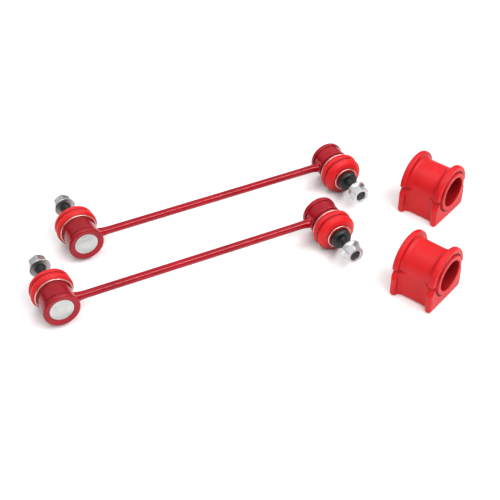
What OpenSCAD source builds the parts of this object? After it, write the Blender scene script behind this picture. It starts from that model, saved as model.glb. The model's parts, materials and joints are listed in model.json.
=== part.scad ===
// Sway bar fitting kit: two ball-jointed drop links and two split D-bushes for the bar.
// Each link lies on its side with its rod along X. Its left stud points along +Y and its
// right stud along -Y. Every loose item rests on the plane z = 0, and the origin is the
// middle of the kit's footprint on that plane.

/* [Link rod] */
// Distance between the two ball centres of one link
centre_distance = 280; // [200:1:360]
// Diameter of the rod
rod_d = 8; // [6:0.5:9]
// Diameter of the flared weld neck where the rod meets a housing
weld_d = 11; // [9:0.5:12]
// Length over which the weld neck flares
weld_length = 8; // [4:1:20]

/* [Joint housing] */
// Diameter of the housing's barrel
housing_d = 34; // [34:0.5:35]
// Diameter of the rolled rim behind the barrel
rim_d = 36; // [36:0.5:37]
// Depth from the ball centre to the back of the rolled rim
housing_back = 12; // [12:0.1:13]
// Height of the barrel's front shoulder above the ball centre
shoulder_z = 6.5; // [5.5:0.1:6.5]
// Diameter of the neck that the boot sits on
neck_d = 30.4; // [29:0.1:30.4]
// Height of the neck's mouth above the ball centre
neck_top = 13.5; // [13:0.1:13.8]
// Diameter of the steel closing cap
cap_d = 26.4; // [26:0.1:26.6]
// Radius of the cap's outer dome
cap_dome_r = 46; // [40:1:60]
// Thickness of the cap
cap_t = 1.2; // [1:0.1:1.4]

/* [Ball stud] */
// Diameter of the ball
ball_d = 18; // [17:0.5:18]
// Outer diameter of the plastic ball seat
seat_d = 25; // [24:0.1:25]
// Diameter of the stud's neck beside the ball
stud_neck_d = 10; // [9:0.1:10]
// Diameter of the stud where the boot grips it
boot_grip_d = 14; // [12:0.1:14]
// Diameter of the stud's collar
collar_d = 21; // [18:0.1:21]
// Height of the collar's underside above the ball centre
collar_z = 33.2; // [33.2:0.1:35]
// Height of the collar's clamping face above the ball centre
clamp_z = 38.5; // [38:0.1:39]
// Diameter of the plain stretch that the bracket sits on
shank_d = 10; // [9.9:0.01:10]
// Length of that plain stretch
shank_length = 12.5; // [11:0.1:12.5]
// Crest diameter of the thread
thread_d = 9.9; // [9.86:0.01:9.92]
// Height of the stud's tip above the ball centre
tip_z = 64.5; // [64:0.1:66]

/* [Flange nut] */
// Width of the hexagon across its flats
nut_flats = 16; // [15:0.5:17]
// Diameter of the nut's flange
nut_flange_d = 21.6; // [20:0.1:22]
// Height of the nut
nut_h = 11.5; // [8:0.1:11.5]
// Height of the nut's clamping face above the ball centre, as stored
nut_z = 52.5; // [52.3:0.1:53]

/* [Boot and its rings] */
// Largest diameter of the boot, over its first convolution
boot_d = 42; // [41:0.5:43]
// Diameter of the second convolution
fold_d = 40.6; // [40:0.1:41]
// Diameter of the boot's mouth, under the neck ring
boot_mouth_d = 22; // [20:0.1:22.6]
// Diameter of the wire of both retaining rings
wire_d = 1.6; // [1:0.1:1.6]
// Height of the base ring above the ball centre
base_ring_z = 12.3; // [12:0.1:12.4]
// Height of the neck ring above the ball centre
neck_ring_z = 31.5; // [31.4:0.1:31.6]

/* [Bar bushes] */
// Diameter of the bore for the sway bar
bar_d = 32; // [24:0.5:34]
// Width over the flanges
bush_w = 55; // [54:0.5:64]
// Height over the flanges
bush_h = 59; // [55:0.5:62]
// Length between the flanges' outer faces
bush_l = 46; // [36:0.5:60]
// Thickness of each flange
flange_t = 6.5; // [4:0.5:8]
// How far a flange stands proud of the body
flange_proud = 6; // [3:0.5:6]
// Diameter of the raised ring around each end of the bore
boss_d = 41; // [39:0.5:42]
// How far that ring stands out of the flange
boss_t = 2; // [1:0.5:4]
// Width of the slit that lets the bush open over the bar
slit_w = 0.8; // [0.5:0.1:2]
// Height of the notch in the edge of each flange
notch_h = 12; // [6:0.5:12]

/* [Layout] */
// Offset of the second link from the first along X
link_step_x = -52; // [-60:1:-45]
// Offset of the second link from the first along Y
link_step_y = -78; // [-100:1:-78]
// Offset of the first bush from the first link along X
bush_1_x = 210; // [210:1:260]
// Offset of the first bush from the first link along Y
bush_1_y = -88; // [-91:1:-60]
// Offset of the second bush from the first along X
bush_step_x = -74; // [-75:1:-60]
// Offset of the second bush from the first along Y
bush_step_y = -105; // [-140:1:-105]
// Angle by which the bushes are turned about the vertical
bush_turn = 25; // [0:0.5:30]

/* [Hidden] */
$fn = 96;
LINKS = [1, 2];
ENDS = ["left", "right"];
JOINT_PIECES = ["housing", "seat", "cap", "stud", "boot", "base_ring", "neck_ring", "nut"];

dark_red = [0.66, 0.13, 0.20];
boot_red = [0.90, 0.16, 0.18];
steel = [0.80, 0.81, 0.82];
black_steel = [0.10, 0.10, 0.11];
white_plastic = [0.90, 0.90, 0.86];

// Clearances between pieces that move on each other
ball_gap = 0.05;
boot_gap = 0.15;
grip_gap = 0.3;
nut_gap = 0.03;

// Housing
barrel_r = housing_d / 2;
rim_r = rim_d / 2;
bead_r = 2.8;
bead_end = acos((barrel_r - rim_r + bead_r) / bead_r);
seat_r = seat_d / 2;
seat_top = 7.6;
mouth_r = 11.3;
cap_seat_z = -9;
cap_pocket_r = cap_d / 2 + 0.1;
cap_hold = 1.5;
cap_open_r = cap_d / 2 - cap_hold;
edge = 0.5;

// Cap: part of a spherical shell, centred in front of the ball
cap_apex = -12.3;
cap_centre_z = cap_apex + cap_dome_r;

// Height of the rolled rim's inner lip, just clear of the cap's dome
cap_gap = 0.1;
cap_lip_z = cap_centre_z - sqrt(pow(cap_dome_r, 2) - pow(cap_open_r, 2)) - cap_gap;

// Stud
ball_flat = 8;
neck_end = 24;
grip_start = 28;
collar_round = 1.2;
relief_d = 8.4;
relief_w = 1.1;
tip_chamfer = 0.8;

// Boot: two convolutions between a lip on the housing and a lip on the stud
boot_r = boot_d / 2;
lip_r = 16.4;
ring_groove_r = 17.1;
fold_r = 17.8;

// Bush
bush_centre_z = bush_h - bush_w / 2;
body_w = bush_w - 2 * flange_proud;
corner_r = 3;
notch_drop = 1.5;
notch_lift = 1;

// Layout
link_z = boot_r;
link_at = [[0, 0], [link_step_x, link_step_y]];
bush_at = [[bush_1_x, bush_1_y], [bush_1_x + bush_step_x, bush_1_y + bush_step_y]];
bush_reach_x = cos(bush_turn) * bush_w / 2 + sin(bush_turn) * bush_l / 2;
bush_reach_y = sin(bush_turn) * bush_w / 2 + cos(bush_turn) * bush_l / 2;
kit_min = [link_step_x - centre_distance / 2 - boot_r, bush_at[1][1] - bush_reach_y];
kit_max = [bush_1_x + bush_reach_x, tip_z];
kit_centre = (kit_min + kit_max) / 2;

// Points of an arc about c, from angle a to angle b
function arc(c, r, a, b, n = 12) =
    [for (k = [0:n]) c + r * [cos(a + (b - a) * k / n), sin(a + (b - a) * k / n)]];

// Points of a swelling between two heights, from radius r0 out to r1 and back to r2
function swelling(r0, r1, r2, z0, z1, n = 12) =
    [for (k = [0:n]) [r0 + (r2 - r0) * k / n + (r1 - (r0 + r2) / 2) * sin(180 * k / n),
                      z0 + (z1 - z0) * k / n]];

// Puts a joint piece, made about +Z with the ball at the origin, at one end of a link
module at_end(i, e) {
    side = e == "left" ? -1 : 1;
    at = link_at[i - 1] - kit_centre;
    translate([at[0] + side * centre_distance / 2, at[1], link_z])
        rotate([side * 90, 0, 0])
            children();
}

// Puts a bush, made with its bore along Y and its base on z = 0, in its place
module at_bush(i) {
    at = bush_at[i - 1] - kit_centre;
    translate([at[0], at[1], 0])
        rotate([0, 0, bush_turn])
            children();
}

// Straight rod whose ends flare and fit against the barrels
module rod(i) {
    at = link_at[i - 1] - kit_centre;
    half = centre_distance / 2;
    color(dark_red)
    translate([at[0], at[1], link_z])
    difference() {
        union() {
            translate([-half, 0, 0])
                rotate([0, 90, 0])
                    cylinder(d = rod_d, h = centre_distance);
            for (s = [-1, 1])
                translate([s * (half - barrel_r - weld_length), 0, 0])
                    rotate([0, s * 90, 0])
                        union() {
                            cylinder(d1 = rod_d, d2 = weld_d, h = weld_length);
                            translate([0, 0, weld_length])
                                cylinder(d = weld_d, h = barrel_r / 2);
                        }
        }
        for (s = [-1, 1])
            translate([s * half, 0, 0])
                rotate([90, 0, 0])
                    cylinder(r = barrel_r, h = rim_d, center = true);
    }
}

// Turned housing: barrel, rolled rim over the cap, and a neck for the boot
module housing(i, e) {
    color(dark_red)
    at_end(i, e)
    rotate_extrude()
    polygon(concat(
        [[cap_open_r, cap_lip_z], [cap_open_r, cap_lip_z - edge]],
        arc([rim_r - bead_r, bead_r - housing_back], bead_r, -90, bead_end),
        [
            [barrel_r, shoulder_z - edge],
            [barrel_r - edge, shoulder_z],
            [neck_d / 2, shoulder_z],
            [neck_d / 2, neck_top],
            [mouth_r, neck_top],
            [mouth_r, seat_top],
            [seat_r, seat_top],
            [seat_r, cap_seat_z],
            [cap_pocket_r, cap_seat_z],
            [cap_pocket_r, cap_lip_z]
        ]
    ));
}

// Plastic ball seat, open behind for grease and flared in front for the stud's neck
module seat(i, e) {
    back = cap_seat_z + 0.1;
    height = seat_top - ball_gap - back;
    flare_z = 5;
    color(white_plastic)
    at_end(i, e)
    difference() {
        translate([0, 0, back])
            cylinder(r = seat_r - ball_gap, h = height);
        sphere(r = ball_d / 2 + ball_gap);
        translate([0, 0, flare_z])
            cylinder(r1 = ball_d / 2 - 1.4, r2 = mouth_r - 0.3, h = seat_top - flare_z + 0.5);
        translate([0, 0, back - 1])
            cylinder(r = ball_d / 4, h = 3);
    }
}

// Domed steel cap held by the rolled rim
module cap(i, e) {
    color(steel)
    at_end(i, e)
    intersection() {
        translate([0, 0, -20])
            cylinder(d = cap_d, h = 20);
        translate([0, 0, cap_centre_z])
        difference() {
            sphere(r = cap_dome_r);
            sphere(r = cap_dome_r - cap_t);
        }
    }
}

// Ball stud: ball, neck, boot grip, collar, plain stretch, relief and threaded end
module stud(i, e) {
    shank_end = clamp_z + shank_length;
    collar_r = collar_d / 2;
    color(black_steel)
    at_end(i, e)
    union() {
        difference() {
            sphere(d = ball_d);
            translate([0, 0, -ball_d])
                cylinder(d = ball_d, h = ball_d - ball_flat);
        }
        rotate_extrude()
        polygon(concat(
            [
                [0, 0],
                [stud_neck_d / 2, 0],
                [stud_neck_d / 2, neck_end],
                [boot_grip_d / 2, grip_start],
                [boot_grip_d / 2, collar_z]
            ],
            arc([collar_r - collar_round, collar_z + collar_round], collar_round, -90, 0, 6),
            arc([collar_r - collar_round, clamp_z - collar_round], collar_round, 0, 90, 6),
            [
                [shank_d / 2, clamp_z],
                [shank_d / 2, shank_end],
                [relief_d / 2, shank_end],
                [relief_d / 2, shank_end + relief_w],
                [thread_d / 2, shank_end + relief_w],
                [thread_d / 2, tip_z - tip_chamfer],
                [thread_d / 2 - tip_chamfer, tip_z],
                [0, tip_z]
            ]
        ));
    }
}

// Hexagon flange nut on the stud's thread
module nut(i, e) {
    rim_t = 1.6;
    cone_t = 1.8;
    corner_d = nut_flats / cos(30);
    color(steel)
    at_end(i, e)
    translate([0, 0, nut_z])
    difference() {
        union() {
            cylinder(d = nut_flange_d, h = rim_t);
            translate([0, 0, rim_t])
                cylinder(d1 = nut_flange_d, d2 = nut_flats, h = cone_t);
            intersection() {
                cylinder(d = corner_d, h = nut_h, $fn = 6);
                cylinder(d1 = corner_d + 2 * nut_h, d2 = nut_flats, h = nut_h);
            }
        }
        translate([0, 0, -1])
            cylinder(r = shank_d / 2 + nut_gap, h = nut_h + 2);
    }
}

// Rubber boot: closed bellows between the housing's neck and the stud's grip
module boot(i, e) {
    inside_r = neck_d / 2 + boot_gap;
    grip_r = boot_grip_d / 2 + grip_gap;
    mouth = boot_mouth_d / 2;
    start = shoulder_z + grip_gap;
    color(boot_red)
    at_end(i, e)
    rotate_extrude()
    polygon(concat(
        [[inside_r, start], [lip_r, start], [lip_r, base_ring_z - 2]],
        [[ring_groove_r, base_ring_z - 0.8], [ring_groove_r, base_ring_z + 0.9]],
        swelling(17.6, boot_r, 18.4, 13.6, 21.1),
        [[fold_r, 21.7]],
        swelling(18.4, fold_d / 2, 16.6, 22.3, 28.2),
        [[13, 30.3], [mouth, 30.5], [mouth, 32.6]],
        [[grip_r, 32.6], [grip_r, 29.6], [10, 28.6]],
        [[17.2, 25], [16.2, 21.6], [18.2, 17.5], [inside_r, 14.2]]
    ));
}

// Wire ring that clamps the boot's lip to the housing
module base_ring(i, e) {
    color(steel)
    at_end(i, e)
    translate([0, 0, base_ring_z])
    rotate_extrude()
    translate([ring_groove_r + wire_d / 2, 0])
        circle(d = wire_d);
}

// Wire ring that clamps the boot's mouth to the stud
module neck_ring(i, e) {
    color(steel)
    at_end(i, e)
    translate([0, 0, neck_ring_z])
    rotate_extrude()
    translate([boot_mouth_d / 2 + 0.1 + wire_d / 2, 0])
        circle(d = wire_d);
}

// Outline with straight sides, a round top about the bore's centre and a flat base
module d_outline(w) {
    intersection() {
        translate([0, bush_centre_z])
            circle(d = w);
        translate([-w / 2, bush_centre_z])
            square([w, w]);
    }
    translate([-w / 2, corner_r])
        square([w, bush_centre_z - corner_r]);
    translate([corner_r - w / 2, 0])
        square([w - 2 * corner_r, corner_r]);
    for (s = [-1, 1])
        translate([s * (w / 2 - corner_r), corner_r])
            circle(r = corner_r);
}

// Stands a 2D outline up in the XZ plane and gives it a length along Y
module along_bore(length) {
    rotate([90, 0, 0])
        linear_extrude(length, center = true)
            children();
}

// Split bush: body between two flanges, with notches in both flanges' edges
module bush(i) {
    full_l = bush_l + 2 * boss_t;
    notch_z = bush_centre_z + notch_lift;
    color(boot_red)
    at_bush(i)
    difference() {
        union() {
            along_bore(bush_l)
                d_outline(body_w);
            for (s = [-1, 1])
                translate([0, s * (bush_l - flange_t) / 2, 0])
                    along_bore(flange_t)
                        d_outline(bush_w);
            translate([0, 0, bush_centre_z])
                rotate([90, 0, 0])
                    cylinder(d = boss_d, h = full_l, center = true);
        }
        translate([0, 0, bush_centre_z])
            rotate([90, 0, 0])
                cylinder(d = bar_d, h = full_l + 2, center = true);
        for (s = [-1, 1])
            along_bore(full_l + 2)
                polygon([
                    [s * (bush_w / 2 + 1), notch_z + 0.2],
                    [s * body_w / 2, notch_z],
                    [s * (bush_w / 2 + 1), notch_z - notch_h - notch_drop]
                ]);
        translate([0, -full_l / 2 - 1, bush_centre_z - slit_w / 2])
            cube([bush_w, full_l + 2, slit_w]);
    }
}

for (i = LINKS) rod(i);
for (i = LINKS) for (e = ENDS) housing(i, e);
for (i = LINKS) for (e = ENDS) seat(i, e);
for (i = LINKS) for (e = ENDS) cap(i, e);
for (i = LINKS) for (e = ENDS) stud(i, e);
for (i = LINKS) for (e = ENDS) boot(i, e);
for (i = LINKS) for (e = ENDS) base_ring(i, e);
for (i = LINKS) for (e = ENDS) neck_ring(i, e);
for (i = LINKS) for (e = ENDS) nut(i, e);
for (i = LINKS) bush(i);
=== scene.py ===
import json
import math

import bmesh
import bpy
from mathutils import Matrix, Vector


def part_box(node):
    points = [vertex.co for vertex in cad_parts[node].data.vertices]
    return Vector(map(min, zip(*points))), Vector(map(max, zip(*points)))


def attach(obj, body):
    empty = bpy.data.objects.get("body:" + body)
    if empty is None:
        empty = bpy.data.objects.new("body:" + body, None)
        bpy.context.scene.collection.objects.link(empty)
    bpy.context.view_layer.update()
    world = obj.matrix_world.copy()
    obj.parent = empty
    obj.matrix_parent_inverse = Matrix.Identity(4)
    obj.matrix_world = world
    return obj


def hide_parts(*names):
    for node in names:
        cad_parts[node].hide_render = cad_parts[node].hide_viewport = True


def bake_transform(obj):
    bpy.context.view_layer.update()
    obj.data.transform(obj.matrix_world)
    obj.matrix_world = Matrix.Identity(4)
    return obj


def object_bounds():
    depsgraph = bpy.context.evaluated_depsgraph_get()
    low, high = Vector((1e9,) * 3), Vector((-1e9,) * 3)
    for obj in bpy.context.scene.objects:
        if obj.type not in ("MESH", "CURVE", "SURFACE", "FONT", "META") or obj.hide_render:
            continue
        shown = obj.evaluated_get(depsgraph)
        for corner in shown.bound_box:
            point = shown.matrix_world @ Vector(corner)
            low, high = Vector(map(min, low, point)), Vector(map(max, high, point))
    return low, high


# Sway bar link and bush kit: the looks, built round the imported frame.
# Turned pieces are drawn as outlines of (radius, height) in millimetres, about the axis of
# their ball joint, with the ball's centre at height 0 and the stud pointing up.
# In a list of corners, the third number rounds the corner off, in millimetres.

MM = 0.001
TAU = 2 * math.pi
UP = Vector((0, 0, 1))

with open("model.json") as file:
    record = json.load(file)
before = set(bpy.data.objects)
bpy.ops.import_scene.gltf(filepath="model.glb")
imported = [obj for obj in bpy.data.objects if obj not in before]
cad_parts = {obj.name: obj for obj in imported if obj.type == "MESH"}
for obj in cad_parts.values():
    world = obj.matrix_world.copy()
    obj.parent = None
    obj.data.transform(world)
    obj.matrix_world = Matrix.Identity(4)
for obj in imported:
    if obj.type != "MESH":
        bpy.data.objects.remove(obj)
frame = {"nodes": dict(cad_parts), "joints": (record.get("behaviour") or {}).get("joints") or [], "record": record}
cad_low, cad_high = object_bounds()
joints = {j["name"]: j for j in frame["joints"]}
mounts = {m["name"]: m for m in frame["record"]["mounts"]}

LINKS = ("1", "2")
BUSHES = ("1", "2")
ENDS = [f"{link}_{side}" for link in LINKS for side in ("left", "right")]

# How far a housing's rolled rim stands proud of its barrel, mm
BEAD_PROUD = 1.0

# Camera: direction in degrees, distance and aim in metres, lens in millimetres
AZIMUTH, ELEVATION = -26.1, 41.0
DISTANCE = 1.1
AIM_SHIFT = Vector((-0.0158, -0.0084, -0.0088))
LENS, SENSOR = 81.3, 36
CLIP_NEAR, CLIP_FAR = 0.05, 20

LIGHTS = [
    ("key", (-0.30, 0.35, 1.1), (0.9, 0.30), 3.5),
    ("strip", (0.42, -0.58, 1.02), (1.6, 0.20), 14.0),
    ("side", (-1.0, -0.5, 0.7), (0.4, 0.7), 0.8),
]

SKY = [(0.10, (0.05, 0.05, 0.055)), (0.50, (1, 1, 1))]
SKY_STRENGTH = 0.90

FLOOR_HALF = 3.0
FLOOR_GAP = 0.0002

# The range that most noise values lie in
NOISE_LOW, NOISE_HIGH = 0.3, 0.7

# Points this close are welded and edges this short are dropped, in metres
WELD, SHORTEST = 1e-7, 1e-8
# An outline that starts this close to the axis starts on it, in millimetres
ON_AXIS = 1e-6


# ---------------------------------------------------------------- camera, light and floor

def add_to_scene(name, data):
    obj = bpy.data.objects.new(name, data)
    bpy.context.scene.collection.objects.link(obj)
    return obj


def look(obj, target):
    obj.rotation_euler = (Vector(target) - obj.location).to_track_quat("-Z", "Y").to_euler()


def make_camera():
    azimuth, elevation = math.radians(AZIMUTH), math.radians(ELEVATION)
    target = (cad_low + cad_high) / 2 + AIM_SHIFT
    back = Vector((
        math.sin(azimuth) * math.cos(elevation),
        -math.cos(azimuth) * math.cos(elevation),
        math.sin(elevation),
    ))
    data = bpy.data.cameras.new("camera")
    data.lens = LENS
    data.sensor_width = SENSOR
    data.clip_start, data.clip_end = CLIP_NEAR, CLIP_FAR
    camera = add_to_scene("camera", data)
    camera.location = target + back * DISTANCE
    look(camera, target)
    bpy.context.scene.camera = camera


def area_light(name, place, size, power):
    data = bpy.data.lights.new(name, "AREA")
    data.shape = "RECTANGLE"
    data.size, data.size_y = size
    data.energy = power
    light = add_to_scene(name, data)
    light.location = place
    look(light, (0, 0, 0))


def make_world():
    world = bpy.data.worlds.new("studio")
    bpy.context.scene.world = world
    world.use_nodes = True
    nodes, links = world.node_tree.nodes, world.node_tree.links
    background = nodes["Background"]
    coords = nodes.new("ShaderNodeTexCoord")
    split = nodes.new("ShaderNodeSeparateXYZ")
    links.new(coords.outputs["Generated"], split.inputs[0])
    links.new(ramp(nodes, links, split.outputs["Z"], SKY), background.inputs["Color"])
    background.inputs["Strength"].default_value = SKY_STRENGTH
    bpy.context.scene.view_settings.view_transform = "Standard"


def make_floor():
    corners = [(x * FLOOR_HALF, y * FLOOR_HALF, 0) for x, y in ((-1, -1), (1, -1), (1, 1), (-1, 1))]
    mesh = bpy.data.meshes.new("floor")
    mesh.from_pydata(corners, [], [(0, 1, 2, 3)])
    floor = add_to_scene("floor", mesh)
    floor.location.z = cad_low.z - FLOOR_GAP
    material, shader, nodes, links = new_material("floor_white", (0.96, 0.96, 0.96), 0.8)
    tone = mottle(nodes, links, noise(nodes, links, 6.0, 3), (0.95, 0.95, 0.95), (0.97, 0.97, 0.97))
    links.new(tone, shader.inputs["Base Color"])
    mesh.materials.append(material)


# ---------------------------------------------------------------- material tools

def new_material(name, colour, roughness, metallic=0.0):
    material = bpy.data.materials.new(name)
    material.use_nodes = True
    nodes, links = material.node_tree.nodes, material.node_tree.links
    shader = nodes["Principled BSDF"]
    shader.inputs["Base Color"].default_value = (*colour, 1)
    shader.inputs["Roughness"].default_value = roughness
    shader.inputs["Metallic"].default_value = metallic
    return material, shader, nodes, links


def noise(nodes, links, scale, detail):
    """A noise value over the object's own coordinates, in metres."""
    coords = nodes.new("ShaderNodeTexCoord")
    texture = nodes.new("ShaderNodeTexNoise")
    texture.inputs["Scale"].default_value = scale
    texture.inputs["Detail"].default_value = detail
    links.new(coords.outputs["Object"], texture.inputs["Vector"])
    return texture.outputs["Fac"]


def ramp(nodes, links, value, stops):
    """Maps a value through a colour ramp; stops are two pairs of (position, colour)."""
    node = nodes.new("ShaderNodeValToRGB")
    for element, (position, colour) in zip(node.color_ramp.elements, stops):
        element.position = position
        element.color = (*colour, 1)
    links.new(value, node.inputs["Fac"])
    return node.outputs["Color"]


def mottle(nodes, links, value, dark, light, high=NOISE_HIGH):
    """A colour that wanders between two with a noise value."""
    return ramp(nodes, links, value, [(NOISE_LOW, dark), (high, light)])


def stretch(nodes, links, value, source, target=(0.0, 1.0)):
    """Maps a value from one range to another."""
    node = nodes.new("ShaderNodeMapRange")
    node.inputs["From Min"].default_value, node.inputs["From Max"].default_value = source
    node.inputs["To Min"].default_value, node.inputs["To Max"].default_value = target
    links.new(value, node.inputs["Value"])
    return node.outputs["Result"]


def mix(nodes, links, factor, first, second):
    """Mixes two colours, each a plain colour or a node's output."""
    node = nodes.new("ShaderNodeMix")
    node.data_type = "RGBA"
    for socket, colour in (("A", first), ("B", second)):
        if isinstance(colour, tuple):
            node.inputs[socket].default_value = (*colour, 1)
        else:
            links.new(colour, node.inputs[socket])
    links.new(factor, node.inputs["Factor"])
    return node.outputs["Result"]


def vary_roughness(nodes, links, shader, value, low, high):
    roughness = stretch(nodes, links, value, (NOISE_LOW, NOISE_HIGH), (low, high))
    links.new(roughness, shader.inputs["Roughness"])


def bump(nodes, links, shader, layers):
    """Stacks bump layers of (noise scale, noise detail, depth in metres)."""
    normal = None
    for scale, detail, depth in layers:
        node = nodes.new("ShaderNodeBump")
        node.inputs["Strength"].default_value = 1.0
        node.inputs["Distance"].default_value = depth
        links.new(noise(nodes, links, scale, detail), node.inputs["Height"])
        if normal:
            links.new(normal, node.inputs["Normal"])
        normal = node.outputs["Normal"]
    links.new(normal, shader.inputs["Normal"])


def edge_wear(nodes, links):
    """Near 1 on convex edges, from the surface's own curvature, which is 0.5 on a flat face."""
    geometry = nodes.new("ShaderNodeNewGeometry")
    return stretch(nodes, links, geometry.outputs["Pointiness"], source=(0.53, 0.62))


def openness(nodes, links, reach, own_mesh_only, window):
    """Near 1 on open faces and near 0 far into a groove or bore, from ambient occlusion; it places painted shade
    in recesses.
    """
    node = nodes.new("ShaderNodeAmbientOcclusion")
    node.only_local = own_mesh_only
    node.samples = 8
    node.inputs["Distance"].default_value = reach
    return stretch(nodes, links, node.outputs["AO"], window)


# ---------------------------------------------------------------- materials

def candy_paint():
    dark, light = (0.25, 0.000, 0.006), (0.35, 0.001, 0.010)
    # edge is the lighter red of worn edges; the other colour is painted shade, a near black red for grooves and
    # recesses.
    edge, painted_shade = (0.46, 0.016, 0.032), (0.09, 0.000, 0.003)
    material, shader, nodes, links = new_material("candy_red_paint", (0.33, 0.003, 0.012), 0.3, 0.10)
    coat = mottle(nodes, links, noise(nodes, links, 30, 3), dark, light)
    worn = mix(nodes, links, edge_wear(nodes, links), coat, edge)
    opening = openness(nodes, links, reach=0.005, own_mesh_only=True, window=(0.45, 0.90))
    links.new(mix(nodes, links, opening, painted_shade, worn), shader.inputs["Base Color"])
    vary_roughness(nodes, links, shader, noise(nodes, links, 120, 4), 0.26, 0.36)
    shader.inputs["Specular IOR Level"].default_value = 0.06
    shader.inputs["Coat Weight"].default_value = 0.50
    shader.inputs["Coat Roughness"].default_value = 0.07
    bump(nodes, links, shader, [(700, 2, 0.000002), (90, 2, 0.000012)])
    return material


def red_rubber(name, dark, light, painted_shade, reach, own_mesh_only, window, roughness, grain):
    """Moulded rubber between two reds, with painted shade: a darker red in its recesses, from ambient occlusion.
    """
    material, shader, nodes, links = new_material(name, light, roughness[0])
    skin = mottle(nodes, links, noise(nodes, links, 45, 4), dark, light)
    # Painted shade: the mask below darkens the rubber in its folds, grooves and bore, where shade would fall.
    opening = openness(nodes, links, reach, own_mesh_only, window)
    links.new(mix(nodes, links, opening, painted_shade, skin), shader.inputs["Base Color"])
    vary_roughness(nodes, links, shader, noise(nodes, links, 320, 4), *roughness)
    shader.inputs["Specular IOR Level"].default_value = 0.26
    bump(nodes, links, shader, [(1500, 3, grain), (170, 2, grain * 3)])
    return material


def bright_steel(name, dark, light, roughness):
    material, shader, nodes, links = new_material(name, light, roughness[0], 1.0)
    tone = mottle(nodes, links, noise(nodes, links, 120, 5), dark, light)
    links.new(tone, shader.inputs["Base Color"])
    vary_roughness(nodes, links, shader, noise(nodes, links, 500, 6), *roughness)
    bump(nodes, links, shader, [(900, 4, 0.000008)])
    return material


def black_phosphate():
    dark, light, edge = (0.006, 0.007, 0.007), (0.016, 0.018, 0.018), (0.05, 0.055, 0.055)
    material, shader, nodes, links = new_material("black_phosphate", (0.010, 0.011, 0.011), 0.4)
    grains = mottle(nodes, links, noise(nodes, links, 260, 6), dark, light, high=0.75)
    worn = mix(nodes, links, edge_wear(nodes, links), grains, edge)
    links.new(worn, shader.inputs["Base Color"])
    vary_roughness(nodes, links, shader, noise(nodes, links, 900, 5), 0.30, 0.48)
    shader.inputs["Specular IOR Level"].default_value = 0.35
    bump(nodes, links, shader, [(2200, 4, 0.00001)])
    return material


def seat_plastic():
    material, shader, nodes, links = new_material("acetal", (0.82, 0.81, 0.76), 0.45)
    tone = mottle(nodes, links, noise(nodes, links, 90, 4), (0.76, 0.75, 0.69), (0.86, 0.85, 0.80))
    links.new(tone, shader.inputs["Base Color"])
    vary_roughness(nodes, links, shader, noise(nodes, links, 400, 4), 0.38, 0.52)
    bump(nodes, links, shader, [(1200, 3, 0.00001)])
    return material


# ---------------------------------------------------------------- mesh tools

def rounded(corners, steps=6):
    """Closed outline through corners of (x, y, radius), each corner rounded by an arc."""
    outline = []
    count = len(corners)
    longest_share = 0.49
    for k, (x, y, radius) in enumerate(corners):
        here = Vector((x, y))
        if radius <= 0:
            outline.append(here)
            continue
        before = Vector(corners[k - 1][:2]) - here
        after = Vector(corners[(k + 1) % count][:2]) - here
        half = before.angle(after) / 2
        longest = longest_share * min(before.length, after.length)
        reach = min(radius / math.tan(half), longest)
        radius = reach * math.tan(half)
        first = here + before.normalized() * reach
        last = here + after.normalized() * reach
        inward = (before.normalized() + after.normalized()).normalized()
        centre = here + inward * (radius / math.sin(half))
        a, b = first - centre, last - centre
        sweep = math.atan2(a.x * b.y - a.y * b.x, a.dot(b))
        for s in range(steps + 1):
            outline.append(centre + Matrix.Rotation(sweep * s / steps, 2) @ a)
    return outline


def mesh_object(name, bm):
    """Turns a finished bmesh into an object of the scene."""
    bmesh.ops.recalc_face_normals(bm, faces=bm.faces)
    mesh = bpy.data.meshes.new(name)
    bm.to_mesh(mesh)
    bm.free()
    return add_to_scene(name, mesh)


def grid_mesh(name, rows, close_rows=True):
    """A mesh through rows of equally many points, in millimetres; each row is a closed loop."""
    bm = bmesh.new()
    made = [[bm.verts.new(Vector(p) * MM) for p in row] for row in rows]
    pairs = list(zip(made, made[1:]))
    if close_rows:
        pairs.append((made[-1], made[0]))
    for low, high in pairs:
        size = len(low)
        for k in range(size):
            n = (k + 1) % size
            bm.faces.new((low[k], low[n], high[n], high[k]))
    bmesh.ops.remove_doubles(bm, verts=bm.verts, dist=WELD)
    bmesh.ops.dissolve_degenerate(bm, edges=bm.edges, dist=SHORTEST)
    return mesh_object(name, bm)


def lathe(name, outline, segments, radius_at=None):
    """Turns an outline of (radius, height). radius_at(radius, height, angle) may change a radius.
    An outline that starts on the axis stays open there; any other is closed."""
    rows = []
    for radius, height in outline:
        row = []
        for k in range(segments):
            angle = TAU * k / segments
            r = radius_at(radius, height, angle) if radius_at else radius
            row.append((r * math.cos(angle), r * math.sin(angle), height))
        rows.append(row)
    return grid_mesh(name, rows, close_rows=outline[0][0] > ON_AXIS)


def prism(name, outline, y0, y1):
    """Closed prism of an outline in the XZ plane, between two places along Y, in mm."""
    bm = bmesh.new()
    first, last = [[bm.verts.new(Vector((x, y, z)) * MM) for x, z in outline] for y in (y0, y1)]
    bm.faces.new(first)
    bm.faces.new(last[::-1])
    for k in range(len(outline)):
        n = (k + 1) % len(outline)
        bm.faces.new((first[k], last[k], last[n], first[n]))
    return mesh_object(name, bm)


def cut(obj, tools):
    """Cuts the tool meshes out of obj, for good."""
    for tool in tools:
        modifier = obj.modifiers.new("cut", "BOOLEAN")
        modifier.operation = "DIFFERENCE"
        modifier.solver = "EXACT"
        modifier.object = tool
    graph = bpy.context.evaluated_depsgraph_get()
    mesh = bpy.data.meshes.new_from_object(obj.evaluated_get(graph))
    obj.modifiers.clear()
    obj.data = mesh
    for tool in tools:
        bpy.data.objects.remove(tool)


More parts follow.
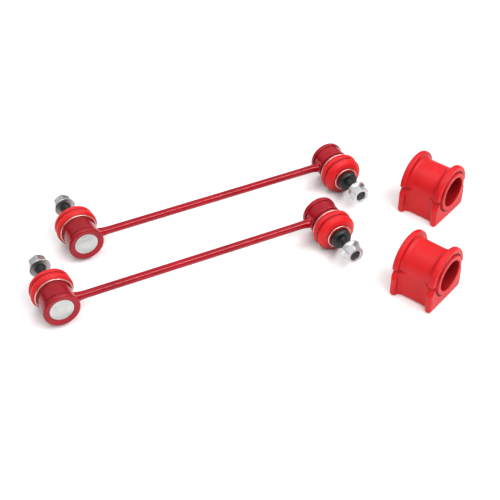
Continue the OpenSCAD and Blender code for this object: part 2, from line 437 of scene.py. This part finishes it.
def finish_piece(obj, material, body, nodes, sharp=35, weighted=True):
    """Shading, material and the calls that tie a piece to the frame; sharp is in degrees."""
    obj.data.materials.append(material)
    for polygon in obj.data.polygons:
        polygon.use_smooth = True
    obj.data.set_sharp_from_angle(angle=math.radians(sharp))
    if weighted:
        modifier = obj.modifiers.new("normals", "WEIGHTED_NORMAL")
        modifier.keep_sharp = True
    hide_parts(*nodes)
    if body:
        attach(obj, body)


# ---------------------------------------------------------------- places on a ball joint

def end_matrix(end):
    """From a joint's own mesh, already in metres, to its place in the row frame."""
    joint = joints[f"boot_turn_{end}"]
    axis = Vector(joint["axis"]).normalized()
    side = Vector((1, 0, 0))
    turn = Matrix((side, axis.cross(side), axis)).transposed().to_4x4()
    return Matrix.Translation(Vector(joint["pos_m"])) @ turn


def end_span(node, end):
    """(outer radius, lowest height, highest height) of a turned CAD node about its joint, in mm."""
    low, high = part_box(node)
    joint = joints[f"boot_turn_{end}"]
    centre, axis = Vector(joint["pos_m"]), Vector(joint["axis"])
    ends = sorted(((low - centre).dot(axis) / MM, (high - centre).dot(axis) / MM))
    return (high.x - low.x) / 2 / MM, ends[0], ends[1]


def place(obj, end):
    obj.data.transform(end_matrix(end))
    return obj


# ---------------------------------------------------------------- ball joint pieces

def build_housing(end, material):
    """A cup with a rolled bead behind, a groove beside it, and a neck for the boot in front."""
    node = f"housing_{end}"
    rim, back, top = end_span(node, end)
    cap_edge = end_span(f"cap_{end}", end)[0]
    opening, pocket = cap_edge - 1.5, cap_edge + 0.1
    lip = back + 1.3
    barrel = rim - BEAD_PROUD
    groove = barrel - 0.7
    shoulder = end_span(f"boot_{end}", end)[1] - 0.3
    neck, throat, seat = 15.2, 11.3, 12.5
    seat_low, seat_high = -9.0, 7.6
    outline = rounded([
        (opening, lip, 0.15),
        (opening, lip - 0.35, 0.3),
        (cap_edge + 1.9, back, 2.2),
        (rim, back, 3.6),
        (rim, back + 4.6, 2.2),
        (groove, back + 5.2, 0.5),
        (groove, back + 5.9, 0.3),
        (barrel, back + 6.3, 0.3),
        (barrel, shoulder, 0.9),
        (neck, shoulder, 0.3),
        (neck, top, 0.5),
        (throat, top, 0.5),
        (throat, seat_high, 0.1),
        (seat, seat_high, 0.1),
        (seat, seat_low, 0.1),
        (pocket, seat_low, 0.05),
        (pocket, lip, 0.05),
    ])
    obj = place(lathe(f"housing_{end}_turned", outline, segments=128), end)
    finish_piece(obj, material, f"link_{end[0]}", [node])


def build_cap(end, material):
    """A thin dome with a shallow ring pressed into it near its edge."""
    node = f"cap_{end}"
    edge, apex, _ = end_span(node, end)
    dome, thickness = 46.0, 1.2
    ring_share, ring_width, ring_depth = 0.80, 0.35, 0.10
    centre = apex + dome
    steps = 24

    def shell(radius):
        points = []
        for k in range(steps + 1):
            r = edge * k / steps
            ring = ring_depth * math.exp(-((r - edge * ring_share) / ring_width) ** 2)
            points.append((r, centre - math.sqrt(radius * radius - r * r) + ring))
        return points

    outline = shell(dome) + shell(dome - thickness)[::-1]
    obj = place(lathe(f"cap_{end}_dome", outline, segments=96), end)
    finish_piece(obj, material, f"link_{end[0]}", [node], sharp=50, weighted=False)


def thread_shape(crest, pitch, depth, start, stop):
    """Radius of a thread with straight flanks that fades in after start and out before stop."""
    # points deeper under the crests than skin are left alone; fade_out is in pitches
    skin, fade_out = 0.9, 0.4

    def radius_at(radius, height, angle):
        if not start < height < stop or radius < crest - skin:
            return radius
        phase = (height / pitch - angle / TAU) % 1.0
        # 0 on a crest and 1 in the flat root of the groove, with straight flanks between
        groove = max(0.0, min(1.0, 1.25 - abs(phase - 0.5) * 4.0))
        fade = min(1.0, (height - start) / pitch, (stop - height) / (pitch * fade_out))
        return radius - depth * groove * fade
    return radius_at


def ball_outline(radius, low, high, steps):
    """A ball from one latitude to another, in degrees."""
    first, last = math.radians(low), math.radians(high)
    outline = []
    for k in range(steps + 1):
        angle = first + (last - first) * k / steps
        outline.append((radius * math.cos(angle), radius * math.sin(angle)))
    return outline


def build_stud(end, material):
    """Ball, waisted neck, boot grip, collar, threaded shank and chamfered tip."""
    node = f"stud_{end}"
    collar, _, tip = end_span(node, end)
    shank = mounts[f"shank_{end}"]
    shank_r = shank["dims"]["r_mm"] - 0.05
    centre = Vector(joints[f"boot_turn_{end}"]["pos_m"])
    middle = (Vector(shank["pos_m"]) - centre).length / MM
    clamp = middle - shank["dims"]["length_mm"] / 2
    under = clamp - 5.3
    collar_edge = 1.2
    ball, ball_flat, neck, grip = 9.0, 8.0, 5.0, 7.0
    ball_low, ball_high = -62.7, 56.0
    pitch, depth, rows_per_turn = 1.5, 0.75, 10
    thread_low, thread_high = clamp + 1.0, tip - 1.2

    outline = [(0.0, -ball_flat)] + ball_outline(ball, ball_low, ball_high, steps=24)
    upper = rounded([
        (neck, ball * math.sin(math.radians(ball_high)), 0.0),
        (neck, 24.0, 3.0),
        (grip, 28.0, 3.0),
        (grip, under, 0.3),
        (collar, under, 1.2),
        (collar, clamp - 1.6, 0.9),
        (collar - collar_edge, clamp, 0.5),
        (shank_r, clamp, 0.25),
        (shank_r, thread_low, 0.0),
    ])
    outline += [tuple(p) for p in upper]
    rows = int((thread_high - thread_low) / pitch * rows_per_turn)
    for k in range(1, rows + 1):
        outline.append((shank_r, thread_low + (thread_high - thread_low) * k / rows))
    outline += [(shank_r - 0.45, tip - 0.6), (shank_r - 0.95, tip - 0.12), (shank_r - 1.3, tip), (0.0, tip)]

    shape = thread_shape(shank_r, pitch, depth, clamp + 0.8, tip - 0.9)
    obj = place(lathe(f"stud_{end}_forged", outline, segments=72, radius_at=shape), end)
    finish_piece(obj, material, f"ball_stud_{end}", [node], sharp=60, weighted=False)


def build_nut(end, material):
    """A flange, a cone above it, and a chamfered hexagon."""
    node = f"nut_{end}"
    flange, low, high = end_span(node, end)
    flats, hexagon_r, bore = 8.0, 9.0, 5.03
    height = high - low
    flange_t, cone_top = 1.5, 3.6
    outline = [
        (bore + 0.7, 0.0),
        (flange - 0.7, 0.0),
        (flange - 0.25, 0.15),
        (flange, 0.55),
        (flange, flange_t - 0.45),
        (flange - 0.2, flange_t - 0.12),
        (flange - 0.6, flange_t),
        (hexagon_r + 1.0, flange_t + 0.5),
        (hexagon_r + 0.4, cone_top - 0.75),
        (hexagon_r + 0.05, cone_top),
        (hexagon_r, cone_top + 0.6),
        (hexagon_r, height - 1.6),
        (hexagon_r, height - 1.1),
        (hexagon_r, height - 0.7),
        (hexagon_r, height - 0.35),
        (8.2, height - 0.05),
        (7.6, height),
        (bore + 0.9, height),
        (bore + 0.75, height - 0.05),
        (bore, height - 0.8),
        (bore, height / 2),
        (bore, 0.7),
    ]
    outline = [(r, z + low) for r, z in outline]
    softness = 26
    outer_only = 7.7
    blend_low = low + cone_top - 1.0
    chamfer_r, chamfer_slope = 8.25, 1.7

    def hexagon(radius, z, angle):
        """The six flats above the cone, cut back at the top by the chamfer."""
        if z < blend_low or radius < outer_only:
            return radius
        total = sum(max(0.0, math.cos(angle - k * TAU / 6)) ** softness for k in range(6))
        side = flats / total ** (1 / softness)
        chamfer = chamfer_r + (high - z) * chamfer_slope
        share = min(1.0, z - blend_low)
        return (1 - share) * radius + share * min(side, chamfer)

    obj = place(lathe(f"nut_{end}_hexagon", outline, segments=144, radius_at=hexagon), end)
    finish_piece(obj, material, f"flange_nut_{end}", [node], sharp=32)


def boot_outline(end):
    """Outside of the bellows from the housing to the stud, then its inside back again."""
    widest, low, high = end_span(f"boot_{end}", end)
    ring_r, ring_low, ring_high = end_span(f"base_ring_{end}", end)
    neck_r, neck_low, _ = end_span(f"neck_ring_{end}", end)
    groove = ring_r - (ring_high - ring_low)
    lip = groove - 1.1
    mouth = neck_r - 1.7
    inside, grip = 15.35, 7.25
    valley_z = 21.8
    outline = rounded([
        (inside, low, 0.3),
        (lip, low, 0.4),
        (lip, ring_low - 1.0, 0.6),
        (groove, ring_low - 0.2, 0.3),
        (groove, ring_high, 0.3),
        (groove + 0.7, ring_high + 0.4, 0.6),
        (widest + 0.6, 16.6, 3.2),
        (widest - 0.8, 20.4, 1.8),
        (groove + 0.8, valley_z, 0.8),
        (widest - 1.4, 22.9, 1.5),
        (widest - 0.2, 25.6, 3.6),
        (17.0, 28.9, 3.0),
        (13.2, 30.3, 0.9),
        (mouth, neck_low - 0.2, 0.3),
        (mouth, high, 0.5),
        (grip + 1.4, high - 0.5, 0.8),
        (grip, high - 1.6, 0.5),
        (grip, 29.8, 0.5),
        (9.8, 29.0, 1.5),
        (17.2, 25.4, 2.0),
        (16.3, valley_z, 0.8),
        (18.4, 17.6, 2.0),
        (inside, 14.2, 0.5),
    ], steps=8)
    return [(min(radius, widest), z) for radius, z in outline]


def build_boot(end, material, lip_shade_material):
    """The bellows; its lip under the base ring has the second material, a darker copy of the rubber that paints
    the shade in the gap by the housing.
    """
    node = f"boot_{end}"
    _, ring_low, ring_high = end_span(f"base_ring_{end}", end)
    obj = place(lathe(f"boot_{end}_bellows", boot_outline(end), segments=128), end)
    finish_piece(obj, material, None, [node], sharp=60, weighted=False)
    obj.data.materials.append(lip_shade_material)
    matrix = end_matrix(end)
    inverse = matrix.inverted()
    for polygon in obj.data.polygons:
        if (inverse @ polygon.center).z < ring_low * MM:
            polygon.material_index = 1
    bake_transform(obj)


def build_ring(end, which, body, material):
    """A ring of round wire."""
    node = f"{which}_{end}"
    outer, low, high = end_span(node, end)
    wire = (high - low) / 2
    steps = 20
    outline = []
    for k in range(steps):
        angle = TAU * k / steps
        outline.append((outer - wire + wire * math.cos(angle), low + wire + wire * math.sin(angle)))
    obj = place(lathe(f"{which}_{end}_wire", outline, segments=128), end)
    finish_piece(obj, material, body, [node], sharp=80, weighted=False)


# ---------------------------------------------------------------- rod

def build_rod(link, material):
    """A round rod that flares into a weld on each barrel, built along X from left to right."""
    node = f"rod_{link}"
    left, right = (Vector(joints[f"boot_turn_{link}_{side}"]["pos_m"]) for side in ("left", "right"))
    centre = (left + right) / 2 / MM
    half = (right - left).length / 2 / MM
    barrel = end_span(f"housing_{link}_left", f"{link}_left")[0] - BEAD_PROUD
    thin, wide, flare, sunk = 4.0, 6.3, 11.0, 0.5
    # under 1, so that the flare stays a little short of a quarter circle
    roundness = 0.98
    segments, flare_steps, shaft_steps = 48, 16, 40
    shaft_end = half - barrel - flare

    def on_barrel(z):
        return half - math.sqrt((barrel - sunk) ** 2 - z * z)

    def ring(side, share, radius):
        """A ring at share 0 of a flare, where the shaft ends, up to share 1, inside the barrel.
        side is -1 at the left flare and 1 at the right; between the two it runs along the shaft."""
        row = []
        for k in range(segments):
            angle = TAU * k / segments
            y, z = radius * math.cos(angle), radius * math.sin(angle)
            x = side * ((1 - share) * shaft_end + share * on_barrel(z))
            row.append(centre + Vector((x, y, z)))
        return row

    def flared(side):
        rows = []
        for s in range(flare_steps + 1):
            share = s / flare_steps
            swell = thin + (wide - thin) * (1 - math.sqrt(1 - roundness * share * share))
            rows.append(ring(side, share, swell))
        return rows + [ring(side, 1.0, 0.0)]

    shaft = [ring(2 * k / shaft_steps - 1, 0.0, thin) for k in range(1, shaft_steps)]
    obj = grid_mesh(f"rod_{link}_bar", flared(-1)[::-1] + shaft + flared(1), close_rows=False)
    finish_piece(obj, material, f"link_{link}", [node], sharp=50, weighted=False)


# ---------------------------------------------------------------- bushes

# Bush sizes that the frame does not hold, mm
# The lip round the bore: how far it stands out of the flange, and its radius
BUSH_LIP, BUSH_LIP_R = 2.0, 20.5
# The flange: its thickness, its height over the waist, and the rounding of its edges
FLANGE_T, FLANGE_PROUD, EDGE_R = 6.5, 6.0, 2.4
# The fillet from the waist up to the flange: its height, and its length along the bore
FILLET_H, FILLET_L = 3.5, 7.0
# The rounding of the long edges of the base
FOOT_R = 3.0
# Steps in each quarter turn of these roundings along the bore
ARC_STEPS = 8


def bush_sizes(number):
    """What the frame holds about a bush; its sizes are in mm, its centre in metres."""
    bore = mounts[f"bar_bore_{number}"]
    low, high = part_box(f"bush_{number}")
    centre = Vector(bore["pos_m"])
    centre_z = (centre.z - low.z) / MM
    half_w = (high.z - low.z) / MM - centre_z
    return {
        "centre": centre,
        "axis": Vector(bore["axis"]).normalized(),
        "bore_r": bore["dims"]["r_mm"],
        "length": bore["dims"]["length_mm"],
        "base": low.z / MM,
        "centre_z": centre_z,
        "half_w": half_w,
        "waist": half_w - FLANGE_PROUD,
    }


def d_points(half_width, centre_z, lift):
    """Outline of a bush section, seen along the bore: flat base, straight sides, round top."""
    base_steps, foot_steps, side_steps, top_steps = 14, 6, 10, 72
    foot_x, foot_z = half_width - FOOT_R, lift + FOOT_R
    points = [(-foot_x + 2 * foot_x * k / base_steps, lift) for k in range(base_steps)]
    for k in range(foot_steps):
        angle = -math.pi / 2 + math.pi / 2 * k / foot_steps
        points.append((foot_x + FOOT_R * math.cos(angle), foot_z + FOOT_R * math.sin(angle)))
    for k in range(side_steps):
        points.append((half_width, foot_z + (centre_z - foot_z) * k / side_steps))
    for k in range(top_steps):
        angle = math.pi * k / top_steps
        points.append((half_width * math.cos(angle), centre_z + half_width * math.sin(angle)))
    for k in range(side_steps):
        points.append((-half_width, centre_z + (foot_z - centre_z) * k / side_steps))
    for k in range(foot_steps):
        angle = math.pi + math.pi / 2 * k / foot_steps
        points.append((-foot_x + FOOT_R * math.cos(angle), foot_z + FOOT_R * math.sin(angle)))
    return points


def flange_stations(size):
    """(place along the bore, half width, lift of the base) from the waist's middle to the face."""
    waist, half_w = size["waist"], size["half_w"]
    face = size["length"] / 2 - BUSH_LIP
    inner = face - FLANGE_T
    before_fillet = 2.0
    straight_end = inner - FILLET_L - before_fillet
    quarter = [math.pi / 2 * k / ARC_STEPS for k in range(ARC_STEPS + 1)]
    stations = [(0.0, waist, 0.0), (straight_end, waist, 0.0)]
    for a in quarter:
        y = inner - FILLET_L + FILLET_L * math.sin(a)
        stations.append((y, waist + FILLET_H * (1 - math.cos(a)), 0.0))
    for a in quarter:
        y = inner + EDGE_R * (1 - math.cos(a))
        stations.append((y, half_w - EDGE_R + EDGE_R * math.sin(a), 0.0))
    for a in quarter:
        drop = EDGE_R * (1 - math.cos(a))
        stations.append((face - EDGE_R + EDGE_R * math.sin(a), half_w - drop, drop))
    return stations


def lip_circles(size):
    """(place along the bore, radius) from the groove round the lip into the middle of the bore."""
    face = size["length"] / 2 - BUSH_LIP
    top = face + BUSH_LIP
    lip, bore = BUSH_LIP_R, size["bore_r"]
    groove = [
        (face, lip + 1.9),
        (face - 0.25, lip + 1.6),
        (face - 0.8, lip + 1.3),
        (face - 1.1, lip + 0.9),
        (face - 0.9, lip + 0.5),
        (face - 0.3, lip + 0.2),
    ]
    outside = [
        (face + 0.4, lip),
        (top - 1.0, lip),
        (top - 0.5, lip - 0.15),
        (top - 0.12, lip - 0.5),
        (top, lip - 1.1),
    ]
    inside = [
        (top, bore + 1.0),
        (top - 0.1, bore + 0.45),
        (top - 0.45, bore + 0.1),
        (top - 1.0, bore),
        (top - 3.0, bore),
        (0.0, bore),
    ]
    return groove + outside + inside


def half_bush(size, sign):
    """Rows of points from the waist's middle over one flange into the middle of the bore."""
    centre_z = size["centre_z"]
    rows = []
    for y, half_width, lift in flange_stations(size):
        rows.append([(x, sign * y, z) for x, z in d_points(half_width, centre_z, lift)])
    outermost = d_points(size["half_w"], centre_z, 0.0)
    for y, radius in lip_circles(size):
        row = []
        for x, z in outermost:
            away = Vector((x, z - centre_z)).normalized() * radius
            row.append((away.x, sign * y, centre_z + away.y))
        rows.append(row)
    return rows


def bush_cutters(size):
    """The slit on one side of the bore, and a notch in the flanges on each side."""
    reach = size["length"]
    centre_z = size["centre_z"]
    slit_half, slit_reach = 0.2, 60
    slit_low, slit_high = centre_z - slit_half, centre_z + slit_half
    slit = [(0, slit_low), (slit_reach, slit_low), (slit_reach, slit_high), (0, slit_high)]
    tools = [prism("slit", slit, -reach, reach)]
    top = centre_z + 1.0
    outer, root = size["half_w"] + 1, size["waist"] + 0.02
    notch = [(outer, top + 0.2), (root, top), (root, top - 3.0), (outer, top - 13.5)]
    for side in (-1, 1):
        tools.append(prism("notch", [(side * x, z) for x, z in notch], -reach, reach))
    return tools


def build_bush(number, material):
    """A D-shaped flanged bush; its own Y is the bore, and its front looks along the mount's axis."""
    size = bush_sizes(number)
    front, rear = half_bush(size, -1), half_bush(size, 1)
    obj = grid_mesh(f"bush_{number}_moulded", front + rear[::-1][1:-1])
    cut(obj, bush_cutters(size))
    y_axis = -size["axis"]
    turn = Matrix((y_axis.cross(UP), y_axis, UP)).transposed().to_4x4()
    base = Vector((size["centre"].x, size["centre"].y, size["base"] * MM))
    obj.data.transform(Matrix.Translation(base) @ turn)
    finish_piece(obj, material, f"bar_bush_{number}", [f"bush_{number}"], sharp=40)


make_camera()
for light in LIGHTS:
    area_light(*light)
make_world()
make_floor()

paint = candy_paint()
# Each rubber is given a darker red as painted shade for its recesses.
boot_rubber = red_rubber(
    "boot_rubber",
    dark=(0.56, 0.006, 0.009),
    light=(0.66, 0.010, 0.013),
    painted_shade=(0.20, 0.001, 0.002),
    reach=0.020,
    own_mesh_only=False,
    window=(0.52, 0.93),
    roughness=(0.34, 0.46),
    grain=0.000008,
)
# Painted shade: a darker copy of the boot rubber, for the lip in the shaded gap between the base ring and the
# housing.
boot_lip_painted_shade = red_rubber(
    "boot_lip_painted_shade",
    dark=(0.24, 0.002, 0.006),
    light=(0.32, 0.003, 0.008),
    painted_shade=(0.08, 0.000, 0.001),
    reach=0.020,
    own_mesh_only=False,
    window=(0.45, 0.93),
    roughness=(0.34, 0.46),
    grain=0.000008,
)
bush_rubber = red_rubber(
    "bush_rubber",
    dark=(0.50, 0.004, 0.007),
    light=(0.59, 0.007, 0.010),
    painted_shade=(0.16, 0.001, 0.002),
    reach=0.045,
    own_mesh_only=True,
    window=(0.30, 0.88),
    roughness=(0.38, 0.50),
    grain=0.000012,
)
cap_steel = bright_steel(
    "cap_steel",
    dark=(0.42, 0.43, 0.42),
    light=(0.54, 0.55, 0.54),
    roughness=(0.14, 0.26),
)
zinc = bright_steel(
    "zinc_plate",
    dark=(0.48, 0.48, 0.49),
    light=(0.62, 0.62, 0.63),
    roughness=(0.26, 0.40),
)
# The pink tint of the wire is a painted reflection of the red rubber round it, laid over the steel's own pale
# tone.
wire_steel_red_reflection = bright_steel(
    "ring_wire",
    dark=(0.70, 0.34, 0.32),
    light=(0.82, 0.46, 0.42),
    roughness=(0.26, 0.36),
)
phosphate = black_phosphate()
acetal = seat_plastic()

for link in LINKS:
    build_rod(link, paint)
for end in ENDS:
    build_housing(end, paint)
    build_cap(end, cap_steel)
    build_stud(end, phosphate)
    build_boot(end, boot_rubber, boot_lip_painted_shade)
    build_ring(end, "base_ring", f"boot_base_{end}", wire_steel_red_reflection)
    build_ring(end, "neck_ring", f"boot_neck_{end}", wire_steel_red_reflection)
    build_nut(end, zinc)
    seat = frame["nodes"][f"seat_{end}"]
    seat.data.materials.clear()
    seat.data.materials.append(acetal)
for number in BUSHES:
    build_bush(number, bush_rubber)
